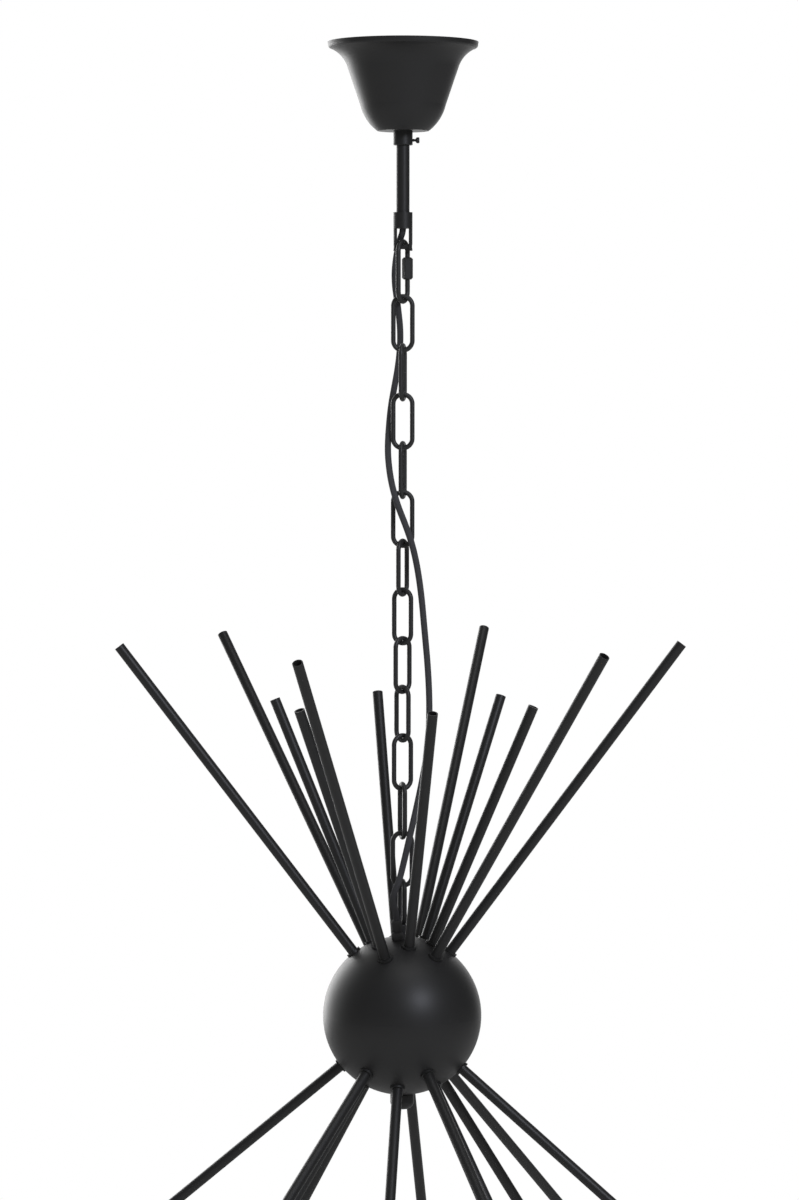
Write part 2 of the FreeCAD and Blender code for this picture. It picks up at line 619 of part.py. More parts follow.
def arm_flanges():
    """The thin ring round the foot of every arm."""
    bore = ARM_DIAMETER + 2 * FIT
    seat = math.sqrt(BALL_RADIUS ** 2 - (bore / 2) ** 2) + SEAT
    ring = tube(FLANGE_DIAMETER, bore, seat, seat + FLANGE_HEIGHT)
    return Part.makeCompound([on_ball(ring, tilt, turn) for tilt, turn, length in
                              upper_headings() + lower_headings()])


def arm_nuts():
    """The nut inside the ball on every arm, and the nut in every lampholder cup."""
    bore = ARM_DIAMETER + 2 * FIT
    face = nut_face(ARM_NUT_FLATS)
    inner = hexagon(ARM_NUT_FLATS, face - ARM_NUT_HEIGHT, face, bore)
    nuts = [on_ball(inner, tilt, turn) for tilt, turn, length in upper_headings() + lower_headings()]
    for tilt, turn, length in lower_headings():
        low = cup_start(length) + CUP_END
        nuts.append(on_ball(hexagon(ARM_NUT_FLATS, low, low + ARM_NUT_HEIGHT, bore), tilt, turn))
    return Part.makeCompound(nuts)


def cup_start(length):
    """How far from the ball's centre a lampholder cup begins."""
    return BALL_RADIUS + length - CUP_ON_ARM


def lamp_seat(length):
    """How far from the ball's centre a lampholder's mouth lies."""
    return cup_start(length) + CUP_LENGTH - INSERT_RECESS


def lampholder_cup(length):
    """One cup: a drawn cylinder closed round the arm and open at the lamp."""
    start = cup_start(length)
    cup = cylinder(CUP_DIAMETER, start, start + CUP_LENGTH)
    cup = cup.makeFillet(CUP_EDGE, [lowest_edge(cup)])
    cup = cup.cut(cylinder(CUP_DIAMETER - 2 * CUP_WALL, start + CUP_END, start + CUP_LENGTH + 1))
    return cup.cut(cylinder(ARM_DIAMETER + 2 * FIT, start - 1, start + CUP_END + 1))


def lampholder_insert(length):
    """One moulded lampholder body, with the socket bore."""
    low = BALL_RADIUS + length + FIT
    high = lamp_seat(length)
    body = cylinder(CUP_DIAMETER - 2 * CUP_WALL - 2 * SLIDE, low, high)
    return body.cut(cylinder(SOCKET_DIAMETER, high - SOCKET_DEPTH, high + 1))


def on_lower_arms(piece):
    """A group with one copy of a piece, made for its arm's length, on every lower arm."""
    return Part.makeCompound([on_ball(piece(length), tilt, turn) for tilt, turn, length in lower_headings()])


def lamp(length):
    """One lamp: a metal cap in the socket, and a hollow glass globe."""
    seat = lamp_seat(length)
    contact = cylinder(CAP_CONTACT_DIAMETER, seat - CAP_LENGTH, seat)
    cap = cylinder(CAP_DIAMETER, seat - CAP_LENGTH + CAP_CONTACT_HEIGHT, seat).fuse(contact).removeSplitter()
    globe = glass_form(0).cut(glass_form(GLASS_WALL))
    globe.translate(Vec(0, 0, seat + SEAT))
    return Part.makeCompound([cap, globe])


def glass_form(inset):
    """The globe's solid form from its foot at z = 0, with an inset taken off all round."""
    radius = GLASS_DIAMETER / 2 - inset
    neck = GLASS_NECK_DIAMETER / 2 - inset
    middle = GLASS_LENGTH - GLASS_DIAMETER / 2
    foot = Vec(neck, 0, inset)
    shoulder = Vec(neck + GLASS_NECK_FLARE, 0, GLASS_NECK_LENGTH)
    joint = on_circle(radius, middle, -GLASS_JOINT_ANGLE)
    bend = (shoulder + joint) * 0.5 + Vec(-GLASS_HOLLOW, 0, GLASS_HOLLOW)
    tip = on_circle(radius, middle, 90)
    edges = [
        Part.makeLine(Vec(0, 0, inset), foot),
        Part.makeLine(foot, shoulder),
        Part.Arc(shoulder, bend, joint).toShape(),
        Part.Arc(joint, on_circle(radius, middle, 0), tip).toShape(),
        Part.makeLine(tip, Vec(0, 0, inset)),
    ]
    form = Part.Face(Part.Wire(edges)).revolve(Vec(0, 0, 0), UP, 360)
    return Part.Solid(form) if form.ShapeType == "Shell" else form


def on_circle(radius, middle, degrees):
    """A point in the XZ plane on a circle centred on the axis."""
    angle = math.radians(degrees)
    return Vec(radius * math.cos(angle), 0, middle + radius * math.sin(angle))


def ball_terminal():
    """The drum of terminals on the centre rod, where every lamp lead starts."""
    half = TERMINAL_HEIGHT / 2
    return on_ball(tube(TERMINAL_DIAMETER, ROD_DIAMETER + 2 * SLIDE, -half, half), 0, 0)


def lamp_leads():
    """The twin lead in every lower arm, from the terminal drum to the lampholder."""
    leads = []
    for tilt, turn, length in lower_headings():
        slope = math.radians(180 - tilt)
        half = LEAD_DIAMETER / 2
        past_end = (TERMINAL_HEIGHT / 2 + half * math.sin(slope)) / math.cos(slope)
        past_side = (TERMINAL_DIAMETER / 2 + half * math.cos(slope)) / math.sin(slope)
        start = min(past_end, past_side) + FIT
        leads.append(on_ball(cylinder(LEAD_DIAMETER, start, BALL_RADIUS + length), tilt, turn))
    return Part.makeCompound(leads)


def cord_gland():
    """The moulded strain relief pushed into the top of the ball."""
    seat = math.sqrt(BALL_RADIUS ** 2 - (GLAND_NECK_DIAMETER / 2) ** 2) + SEAT
    flange_top = seat + GLAND_FLANGE_HEIGHT
    top = BALL_RADIUS + GLAND_HEIGHT
    lip_top = math.sqrt(BALL_INSIDE ** 2 - (GLAND_LIP_DIAMETER / 2) ** 2) - SEAT
    flange = cylinder(GLAND_BASE_DIAMETER, seat, flange_top)
    sleeve = Part.makeCone(GLAND_BASE_DIAMETER / 2 - GLAND_STEP, GLAND_TOP_DIAMETER / 2, top - flange_top,
                           Vec(0, 0, flange_top), UP)
    sleeve = sleeve.makeFillet(GLAND_EDGE, [highest_edge(sleeve)])
    neck = cylinder(GLAND_NECK_DIAMETER, lip_top, seat)
    lip = cylinder(GLAND_LIP_DIAMETER, lip_top - GLAND_LIP_HEIGHT, lip_top)
    body = flange.fuse([sleeve, neck, lip]).removeSplitter()
    body = body.cut(cylinder(CORD_DIAMETER + 2 * FIT, 0, 2 * BALL_RADIUS))
    return on_ball(body, GLAND_TILT, GLAND_TURN)


def cord_points():
    """The cord's route, ending on the axis of its strain relief."""
    mouth = BALL_RADIUS + GLAND_HEIGHT
    way = heading(GLAND_TILT, GLAND_TURN)
    before = BALL_CENTRE + way * (mouth + CORD_LEAD_IN)
    end = BALL_CENTRE + way * (mouth + CORD_LEAD_IN - CORD_IN_GLAND)
    return [Vec(*point) for point in CORD_ROUTE] + [before, end]


def supply_cord():
    """The cord from the stem's mouth to the ball: straight runs joined by tangent arcs."""
    points = cord_points()
    edges = []
    radii = []
    last = points[0]
    for before, corner, after in zip(points, points[1:], points[2:]):
        back = (before - corner).normalize()
        ahead = (after - corner).normalize()
        turn = math.pi - back.getAngle(ahead)
        reach = CORD_ARC_SHARE * min(before.distanceToPoint(corner), corner.distanceToPoint(after))
        radius = reach / math.tan(turn / 2)
        inward = (back + ahead).normalize()
        middle = corner + inward * (math.hypot(reach, radius) - radius)
        edges.append(Part.LineSegment(last, corner + back * reach).toShape())
        edges.append(Part.Arc(corner + back * reach, middle, corner + ahead * reach).toShape())
        last = corner + ahead * reach
        radii.append(radius)
    edges.append(Part.LineSegment(last, points[-1]).toShape())
    path = Part.Wire(edges)
    start_way = (points[1] - points[0]).normalize()
    section = Part.Wire(Part.makeCircle(CORD_DIAMETER / 2, points[0], start_way))
    cord = path.makePipeShell([section], True, False)
    expected = path.Length * math.pi * CORD_DIAMETER ** 2 / 4
    print("cord length", round(path.Length, 1), "volume over section times length",
          round(cord.Volume / expected, 4))
    print("cord radii", [round(radius, 1) for radius in radii])
    return cord


def save(name, shape):
    """Writes one piece, or one group of like pieces, as a STEP file."""
    assert shape.isValid(), name
    shape.exportStep("parts/" + name + ".step")


def main():
    os.makedirs("parts", exist_ok=True)
    save("ceiling_bracket", ceiling_bracket())
    save("terminal_block", terminal_block())
    save("terminal_screws", terminal_screws())
    save("earth_screw", earth_screw())
    save("stem_washers", stem_washers())
    save("stem_nuts", stem_nuts())
    save("stem_tube", stem_tube())
    save("canopy", canopy())
    save("canopy_collar", canopy_collar())
    save("thumb_screw", thumb_screw())
    save("yoke", yoke())
    save("yoke_pin", yoke_pin())
    save("quick_link", quick_link())
    save("quick_link_sleeve", quick_link_sleeve())
    link = chain_link()
    for index, turn in enumerate(LINK_TURNS):
        save("link_%02d" % (index + 1), turned(link, turn, LINK_TOP - LINK_PITCH * index))
    save("ball_hook", ball_hook())
    save("ball_upper", ball_half(True))
    save("ball_lower", ball_half(False))
    save("centre_rod", centre_rod())
    save("rod_nuts", rod_nuts())
    save("finial", finial())
    above = upper_headings()
    below = lower_headings()
    save("upper_long_arms", ring_of_arms(above[:len(UPPER_LONG_WAYS)]))
    save("upper_short_arms", ring_of_arms(above[len(UPPER_LONG_WAYS):]))
    save("lower_outer_arms", ring_of_arms(below[:len(LOWER_OUTER_WAYS)]))
    save("lower_inner_arms", ring_of_arms(below[len(LOWER_OUTER_WAYS):]))
    save("arm_flanges", arm_flanges())
    save("arm_nuts", arm_nuts())
    save("lampholder_cups", on_lower_arms(lampholder_cup))
    save("lampholder_inserts", on_lower_arms(lampholder_insert))
    for index, (tilt, turn, length) in enumerate(below):
        save("lamp_%02d" % (index + 1), on_ball(lamp(length), tilt, turn))
    save("ball_terminal", ball_terminal())
    save("lamp_leads", lamp_leads())
    save("cord_gland", cord_gland())
    save("supply_cord", supply_cord())


main()
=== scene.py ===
"""Dresses a chain-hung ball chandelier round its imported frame.

The frame carries the metalwork. This file adds its finishes, the laced supply cord, the strain
relief, the screw threads, the thumb screw, the lamps with their caps and filaments, and the studio.
Metres. +Z is up, and the origin is on the ceiling, on the axis of the stem.
"""

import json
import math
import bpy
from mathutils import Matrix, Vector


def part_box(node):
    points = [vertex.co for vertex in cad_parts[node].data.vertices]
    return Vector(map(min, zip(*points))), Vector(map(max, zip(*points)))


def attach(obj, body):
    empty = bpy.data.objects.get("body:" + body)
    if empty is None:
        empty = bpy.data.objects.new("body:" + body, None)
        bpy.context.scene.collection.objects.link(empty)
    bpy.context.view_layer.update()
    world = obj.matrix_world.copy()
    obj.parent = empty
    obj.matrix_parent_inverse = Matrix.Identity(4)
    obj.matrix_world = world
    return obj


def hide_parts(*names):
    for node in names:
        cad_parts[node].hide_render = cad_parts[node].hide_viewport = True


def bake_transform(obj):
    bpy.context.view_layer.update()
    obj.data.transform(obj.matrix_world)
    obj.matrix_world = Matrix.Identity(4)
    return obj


bl_info = {
    "name": "Sputnik Chandelier",
    "version": (1, 0, 0),
    "blender": (4, 5, 0),
    "location": "View3D > Sidebar > Chandelier",
    "description": "Finishes, cord, lamps and studio for a chain-hung ball chandelier",
    "category": "Add Mesh",
}

import bmesh
import bpy
from bpy.props import FloatProperty, FloatVectorProperty, IntProperty, PointerProperty
from mathutils import Matrix, Vector

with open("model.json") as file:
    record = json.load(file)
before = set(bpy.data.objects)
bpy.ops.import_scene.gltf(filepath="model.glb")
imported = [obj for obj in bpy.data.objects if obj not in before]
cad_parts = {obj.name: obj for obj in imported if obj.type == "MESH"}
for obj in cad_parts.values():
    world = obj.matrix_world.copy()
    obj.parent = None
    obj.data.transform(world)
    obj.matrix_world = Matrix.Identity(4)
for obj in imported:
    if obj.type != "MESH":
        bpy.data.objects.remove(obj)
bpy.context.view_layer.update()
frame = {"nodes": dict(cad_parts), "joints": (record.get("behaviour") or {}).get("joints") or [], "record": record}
NODES = frame["nodes"]
JOINTS = {joint["name"]: joint for joint in frame["joints"]}

MM = 0.001
UP = Vector((0, 0, 1))
BALL_CENTRE = Vector((0, 0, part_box("ball_upper")[0][2]))

# The chain, from the ceiling down: the bodies that the cord runs past, whose hinges cut it into stretches, and
# their names
CHAIN = ["ceiling_mount", "quick_link"] + ["link_%02d" % (k + 1) for k in range(12)] + ["ball"]

# The supply cord's route from inside the stem's mouth to inside its strain relief, in millimetres
CORD_ROUTE = [
    (0.0, 1.0, -134.0),
    (0.4, 0.9, -145.2),
    (-2.0, 5.4, -151.6),
    (-3.9, 7.5, -158.8),
    (-5.4, 6.6, -167.0),
    (-6.5, 4.6, -178.0),
    (-6.1, 4.4, -188.5),
    (-4.6, 6.0, -198.5),
    (-3.4, 7.4, -208.5),
    (-2.2, 9.0, -219.0),
    (-1.9, 11.0, -230.0),
    (-2.6, 12.8, -241.5),
    (-4.2, 12.6, -254.0),
    (-6.6, 10.2, -267.0),
    (-9.3, 8.0, -282.0),
    (-10.9, 5.8, -299.0),
    (-11.8, 2.0, -316.0),
    (-10.4, -3.6, -332.0),
    (-7.7, -8.2, -346.0),
    (-3.4, -9.8, -360.0),
    (2.3, -9.2, -374.0),
    (7.8, -6.6, -390.0),
    (11.9, -3.8, -409.0),
    (14.9, -1.6, -431.0),
    (17.2, -0.6, -457.0),
    (20.0, -0.4, -487.0),
    (21.3, -1.2, -519.0),
    (19.9, -2.8, -549.0),
    (14.8, -5.4, -577.0),
    (9.5, -9.2, -601.0),
    (4.8, -11.2, -621.0),
    (0.9, -11.4, -638.0),
    (-2.2, -12.2, -650.5),
    (-5.4, -13.6, -658.0),
    (-8.2, -14.6, -665.8),
    (-5.9, -15.3, -672.2),
    (-4.6, -14.6, -677.94),
    (-3.65, -11.56, -694.64),
]


# ---------------------------------------------------------------- settings


class FinishSettings(bpy.types.PropertyGroup):
    """Colours and surface of the metal, plastic and glass."""

    coat: FloatVectorProperty(
        name="Powder coat", description="Colour of the powder-coated metalwork",
        subtype="COLOR", size=3, min=0, max=1, default=(0.0125, 0.0125, 0.0135))
    coat_roughness: FloatProperty(
        name="Coat roughness", description="Mean roughness of the powder coat",
        min=0, max=1, default=0.44)
    peel: FloatProperty(
        name="Orange peel", description="Width of the ripples in the powder coat",
        subtype="DISTANCE", unit="LENGTH", min=0.0001, max=0.01, default=0.0011)
    chain: FloatVectorProperty(
        name="Chain paint", description="Colour of the painted wire",
        subtype="COLOR", size=3, min=0, max=1, default=(0.017, 0.017, 0.018))
    cord: FloatVectorProperty(
        name="Cord jacket", description="Colour of the supply cord",
        subtype="COLOR", size=3, min=0, max=1, default=(0.0095, 0.0095, 0.01))
    glass: FloatVectorProperty(
        name="Glass", description="Tint of the lamp glass",
        subtype="COLOR", size=3, min=0, max=1, default=(0.98, 0.99, 0.985))


class CordSettings(bpy.types.PropertyGroup):
    """The supply cord and its strain relief."""

    diameter: FloatProperty(
        name="Cord diameter", description="Outside diameter of the cord's jacket",
        subtype="DISTANCE", unit="LENGTH", min=0.003, max=0.01, default=0.005)
    sides: IntProperty(
        name="Sides", description="Facets round the cord", min=8, max=64, default=24)
    steps: IntProperty(
        name="Steps", description="Rings between two points of the route", min=2, max=24, default=8)


class LampSettings(bpy.types.PropertyGroup):
    """The golf-ball lamps and their screw caps."""

    globe: FloatProperty(
        name="Globe diameter", description="Outside diameter of the glass",
        subtype="DISTANCE", unit="LENGTH", min=0.03, max=0.06, default=0.045)
    height: FloatProperty(
        name="Globe height", description="From the cap's rim to the glass's tip",
        subtype="DISTANCE", unit="LENGTH", min=0.04, max=0.09, default=0.052)
    wall: FloatProperty(
        name="Glass wall", description="Thickness of the glass",
        subtype="DISTANCE", unit="LENGTH", min=0.0003, max=0.002, default=0.0008)
    pitch: FloatProperty(
        name="Thread pitch", description="Pitch of the cap's rolled thread",
        subtype="DISTANCE", unit="LENGTH", min=0.001, max=0.005, default=0.00282)
    strips: IntProperty(
        name="Filament strips", description="Light strips round the glass mount", min=2, max=8, default=4)


class StudioSettings(bpy.types.PropertyGroup):
    """The camera, the floor and the lights."""

    distance: FloatProperty(
        name="Camera distance", description="From the camera to the stem's axis",
        subtype="DISTANCE", unit="LENGTH", min=1, max=10, default=3.2526)
    floor: FloatProperty(
        name="Floor height", description="Height of the floor, below the ceiling at zero",
        subtype="DISTANCE", unit="LENGTH", min=-4, max=-1.2, default=-2.4)
    fill: FloatProperty(
        name="Fill light", description="Brightness of the even studio light",
        min=0, max=2, default=0.55)


# ---------------------------------------------------------------- materials


def new_finish(name):
    """A new node material, with its tree and its shader."""
    material = bpy.data.materials.new(name)
    material.use_nodes = True
    return material, material.node_tree, material.node_tree.nodes["Principled BSDF"]


def object_place(tree):
    """The socket with the place on the piece, in metres."""
    return tree.nodes.new("ShaderNodeTexCoord").outputs["Object"]


def noise(tree, place, size, detail=2.0, stretch=(1, 1, 1)):
    """A noise whose lumps are about this size in metres."""
    mapping = tree.nodes.new("ShaderNodeMapping")
    mapping.inputs["Scale"].default_value = stretch
    tree.links.new(place, mapping.inputs["Vector"])
    texture = tree.nodes.new("ShaderNodeTexNoise")
    texture.inputs["Scale"].default_value = 1 / size
    texture.inputs["Detail"].default_value = detail
    tree.links.new(mapping.outputs["Vector"], texture.inputs["Vector"])
    return texture.outputs["Fac"]


def spread(tree, source, low, high, start=0.3, end=0.7):
    """Maps a source between start and end to a range."""
    mapped = tree.nodes.new("ShaderNodeMapRange")
    for name, value in (("From Min", start), ("From Max", end), ("To Min", low), ("To Max", high)):
        mapped.inputs[name].default_value = value
    tree.links.new(source, mapped.inputs["Value"])
    return mapped.outputs["Result"]


def tint(tree, source, first, second):
    """Mixes two colours by a source."""
    mix = tree.nodes.new("ShaderNodeMix")
    mix.data_type = "RGBA"
    mix.inputs["A"].default_value = (*first, 1)
    mix.inputs["B"].default_value = (*second, 1)
    tree.links.new(source, mix.inputs["Factor"])
    return mix.outputs["Result"]


def relief(tree, heights):
    """Stacks bumps of (height source, depth in metres) and returns the last normal."""
    normal = None
    for source, depth in heights:
        bump = tree.nodes.new("ShaderNodeBump")
        bump.inputs["Distance"].default_value = depth
        tree.links.new(source, bump.inputs["Height"])
        if normal:
            tree.links.new(normal, bump.inputs["Normal"])
        normal = bump.outputs["Normal"]
    return normal


def scaled(colour, share):
    """A colour made lighter or darker."""
    return tuple(min(1.0, channel * share) for channel in colour)


def facing_up(tree, share):
    """How far a surface faces up, from 0 at the sides to a share at the top."""
    split = tree.nodes.new("ShaderNodeSeparateXYZ")
    tree.links.new(tree.nodes.new("ShaderNodeNewGeometry").outputs["Normal"], split.inputs["Vector"])
    return spread(tree, split.outputs["Z"], 0.0, share, 0.45, 1.0)


def powder_coat(name, colour, roughness, peel, gloss):
    """Black powder coat: orange peel, fine grain, uneven sheen, and a breath of dust on top faces."""
    material, tree, shader = new_finish(name)
    place = object_place(tree)
    ripples = noise(tree, place, peel, 1.0)
    grain = noise(tree, place, peel / 6, 2.0)
    clouds = noise(tree, place, 30 * peel, 3.0)
    dust = tree.nodes.new("ShaderNodeMath")
    dust.operation = "MULTIPLY"
    tree.links.new(facing_up(tree, 0.5), dust.inputs[0])
    tree.links.new(spread(tree, clouds, 0.2, 1.0), dust.inputs[1])
    dusty = tint(tree, dust.outputs["Value"], colour, scaled(colour, 2.6))
    tree.links.new(dusty, shader.inputs["Base Color"])
    uneven = spread(tree, clouds, roughness - 0.04, roughness + 0.05)
    tree.links.new(uneven, shader.inputs["Roughness"])
    bumps = relief(tree, [(ripples, 0.012 * peel), (grain, 0.003 * peel)])
    tree.links.new(bumps, shader.inputs["Normal"])
    shader.inputs["Specular IOR Level"].default_value = gloss
    return material


def plated_metal(name, colour, roughness, streak):
    """Plated or turned metal: a mottled colour and fine streaks round the piece."""
    material, tree, shader = new_finish(name)
    place = object_place(tree)
    mottle = noise(tree, place, 0.004, 4.0)
    streaks = noise(tree, place, streak, 2.0, (0.15, 0.15, 1.0))
    mottled = tint(tree, mottle, scaled(colour, 0.8), scaled(colour, 1.08))
    tree.links.new(mottled, shader.inputs["Base Color"])
    tree.links.new(spread(tree, mottle, roughness - 0.08, roughness + 0.1), shader.inputs["Roughness"])
    tree.links.new(relief(tree, [(streaks, 0.000004)]), shader.inputs["Normal"])
    shader.inputs["Metallic"].default_value = 1.0
    return material


def moulded(name, colour, roughness, grain_depth):
    """Moulded plastic or ceramic with a fine grain and a little unevenness in its colour."""
    material, tree, shader = new_finish(name)
    place = object_place(tree)
    flow = noise(tree, place, 0.012, 2.0)
    grain = noise(tree, place, 0.0003, 2.0)
    flowed = tint(tree, flow, scaled(colour, 0.93), scaled(colour, 1.05))
    tree.links.new(flowed, shader.inputs["Base Color"])
    tree.links.new(spread(tree, flow, roughness - 0.05, roughness + 0.07), shader.inputs["Roughness"])
    tree.links.new(relief(tree, [(grain, grain_depth)]), shader.inputs["Normal"])
    return material


def cord_jacket(name, colour):
    """An extruded jacket: fine lines along it, read from the cord's own map, and a soft sheen."""
    material, tree, shader = new_finish(name)
    along = tree.nodes.new("ShaderNodeTexCoord").outputs["UV"]
    lines = noise(tree, along, 0.02, 2.0, (3.0, 0.02, 1.0))
    scuffs = noise(tree, along, 0.4, 3.0, (1.0, 40.0, 1.0))
    scuffed = tint(tree, scuffs, scaled(colour, 0.85), scaled(colour, 1.25))
    tree.links.new(scuffed, shader.inputs["Base Color"])
    tree.links.new(spread(tree, scuffs, 0.36, 0.52), shader.inputs["Roughness"])
    tree.links.new(relief(tree, [(lines, 0.00002)]), shader.inputs["Normal"])
    shader.inputs["Specular IOR Level"].default_value = 0.26
    return material


def blown_glass(name, colour):
    """Clear glass with faint unevenness from blowing."""
    material, tree, shader = new_finish(name)
    swell = noise(tree, object_place(tree), 0.02, 1.0)
    tree.links.new(relief(tree, [(swell, 0.00015)]), shader.inputs["Normal"])
    tree.links.new(spread(tree, swell, 0.015, 0.04), shader.inputs["Roughness"])
    shader.inputs["Base Color"].default_value = (*colour, 1)
    shader.inputs["Transmission Weight"].default_value = 1.0
    shader.inputs["IOR"].default_value = 1.47
    return material


def finishes():
    """Every finish by the name that the record gives it, made once."""
    settings = bpy.context.scene.chandelier_finish
    made = {
        "black_coat": lambda name: powder_coat(
            name, settings.coat, settings.coat_roughness, settings.peel, 0.32),
        "black_chain": lambda name: powder_coat(
            name, settings.chain, settings.coat_roughness - 0.04, settings.peel * 0.7, 0.4),
        "zinc_steel": lambda name: plated_metal(name, (0.6, 0.6, 0.58), 0.34, 0.0004),
        "brass": lambda name: plated_metal(name, (0.72, 0.5, 0.2), 0.3, 0.0005),
        "white_plastic": lambda name: moulded(name, (0.8, 0.8, 0.77), 0.42, 0.00001),
        "black_plastic": lambda name: moulded(name, (0.016, 0.016, 0.017), 0.5, 0.00002),
        "black_cord": lambda name: cord_jacket(name, settings.cord),
        "lead_insulation": lambda name: moulded(name, (0.68, 0.67, 0.62), 0.5, 0.00001),
        "clear_glass": lambda name: blown_glass(name, settings.glass),
        "cap_insulator": lambda name: moulded(name, (0.012, 0.012, 0.014), 0.16, 0.000003),
        "strip_phosphor": lambda name: moulded(name, (0.86, 0.56, 0.12), 0.55, 0.00002),
    }
    for name, make in made.items():
        if name not in bpy.data.materials:
            make(name)
    return bpy.data.materials


# ---------------------------------------------------------------- mesh helpers


def lathe(bm, outline, sides, closed=False):
    """Spins an outline of (radius, height) in millimetres round the Z axis."""
    verts = [bm.verts.new((radius * MM, 0, height * MM)) for radius, height in outline]
    pairs = list(zip(verts, verts[1:] + verts[:1])) if closed else list(zip(verts, verts[1:]))
    edges = [bm.edges.new(pair) for pair in pairs]
    bmesh.ops.spin(bm, geom=verts + edges, cent=(0, 0, 0), axis=(0, 0, 1), angle=math.tau,
                   steps=sides, use_merge=True)
    bmesh.ops.remove_doubles(bm, verts=bm.verts, dist=1e-7)
    return bm


def arc(centre, radius, start, end, steps):
    """Points of (radius, height) on a circle, by angles in degrees from level."""
    points = []
    for k in range(steps + 1):
        angle = math.radians(start + (end - start) * k / steps)
        points.append((centre[0] + radius * math.cos(angle), centre[1] + radius * math.sin(angle)))
    return points


def wind_thread(bm, low, high, pitch, depth, inside=0.0):
    """Presses a helical groove into the wall between two heights, fading at both ends. Millimetres.

    Points nearer to the axis than inside stay where they are."""
    for vert in bm.verts:
        height = vert.co.z / MM
        radius = math.hypot(vert.co.x, vert.co.y)
        if not low < height < high or radius < inside * MM:
            continue
        turn = math.atan2(vert.co.y, vert.co.x) / math.tau
        fade = min(1.0, (height - low) / pitch, (high - height) / pitch)
        wave = 0.5 * depth * (math.cos(math.tau * (height / pitch - turn)) - 1)
        share = 1 + fade * wave * MM / radius
        vert.co.x *= share
        vert.co.y *= share


def piece(name, bm, slot, place=None, sharp=40.0):
    """Turns a bmesh into a finished object at the origin, with its place in its mesh."""
    bmesh.ops.recalc_face_normals(bm, faces=bm.faces)
    if place is not None:
        bmesh.ops.transform(bm, matrix=place, verts=bm.verts)
    for face in bm.faces:
        face.smooth = True
    for edge in bm.edges:
        if len(edge.link_faces) == 2 and edge.calc_face_angle() > math.radians(sharp):
            edge.smooth = False
    mesh = bpy.data.meshes.new(name)
    bm.to_mesh(mesh)
    bm.free()
    made = bpy.data.objects.new(name, mesh)
    bpy.context.scene.collection.objects.link(made)
    mesh.materials.append(finishes()[slot])
    return made


def along(direction, point):
    """The place that turns +Z to a direction and moves the origin to a point."""
    return Matrix.Translation(point) @ direction.to_track_quat("Z", "Y").to_matrix().to_4x4()


def shares(mesh_object, slot, body, *nodes):
    """Gives a finished piece its body and hides the nodes that it stands for. The slot is not used."""
    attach(mesh_object, body)
    if nodes:
        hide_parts(*nodes)
    return mesh_object


# ---------------------------------------------------------------- pieces


class CHANDELIER_OT_coat_frame(bpy.types.Operator):
    """Gives every node of the frame its finish"""

    bl_idname = "chandelier.coat_frame"
    bl_label = "Coat the frame"

    def execute(self, context):
        materials = finishes()
        for row in frame["record"]["subparts"]:
            node = NODES[row["node"]]
            for slot in node.material_slots:
                slot.material = materials[row["material_slot"]]
            if not node.material_slots:
                raise RuntimeError(row["node"] + " has no material slot")
        return {"FINISHED"}


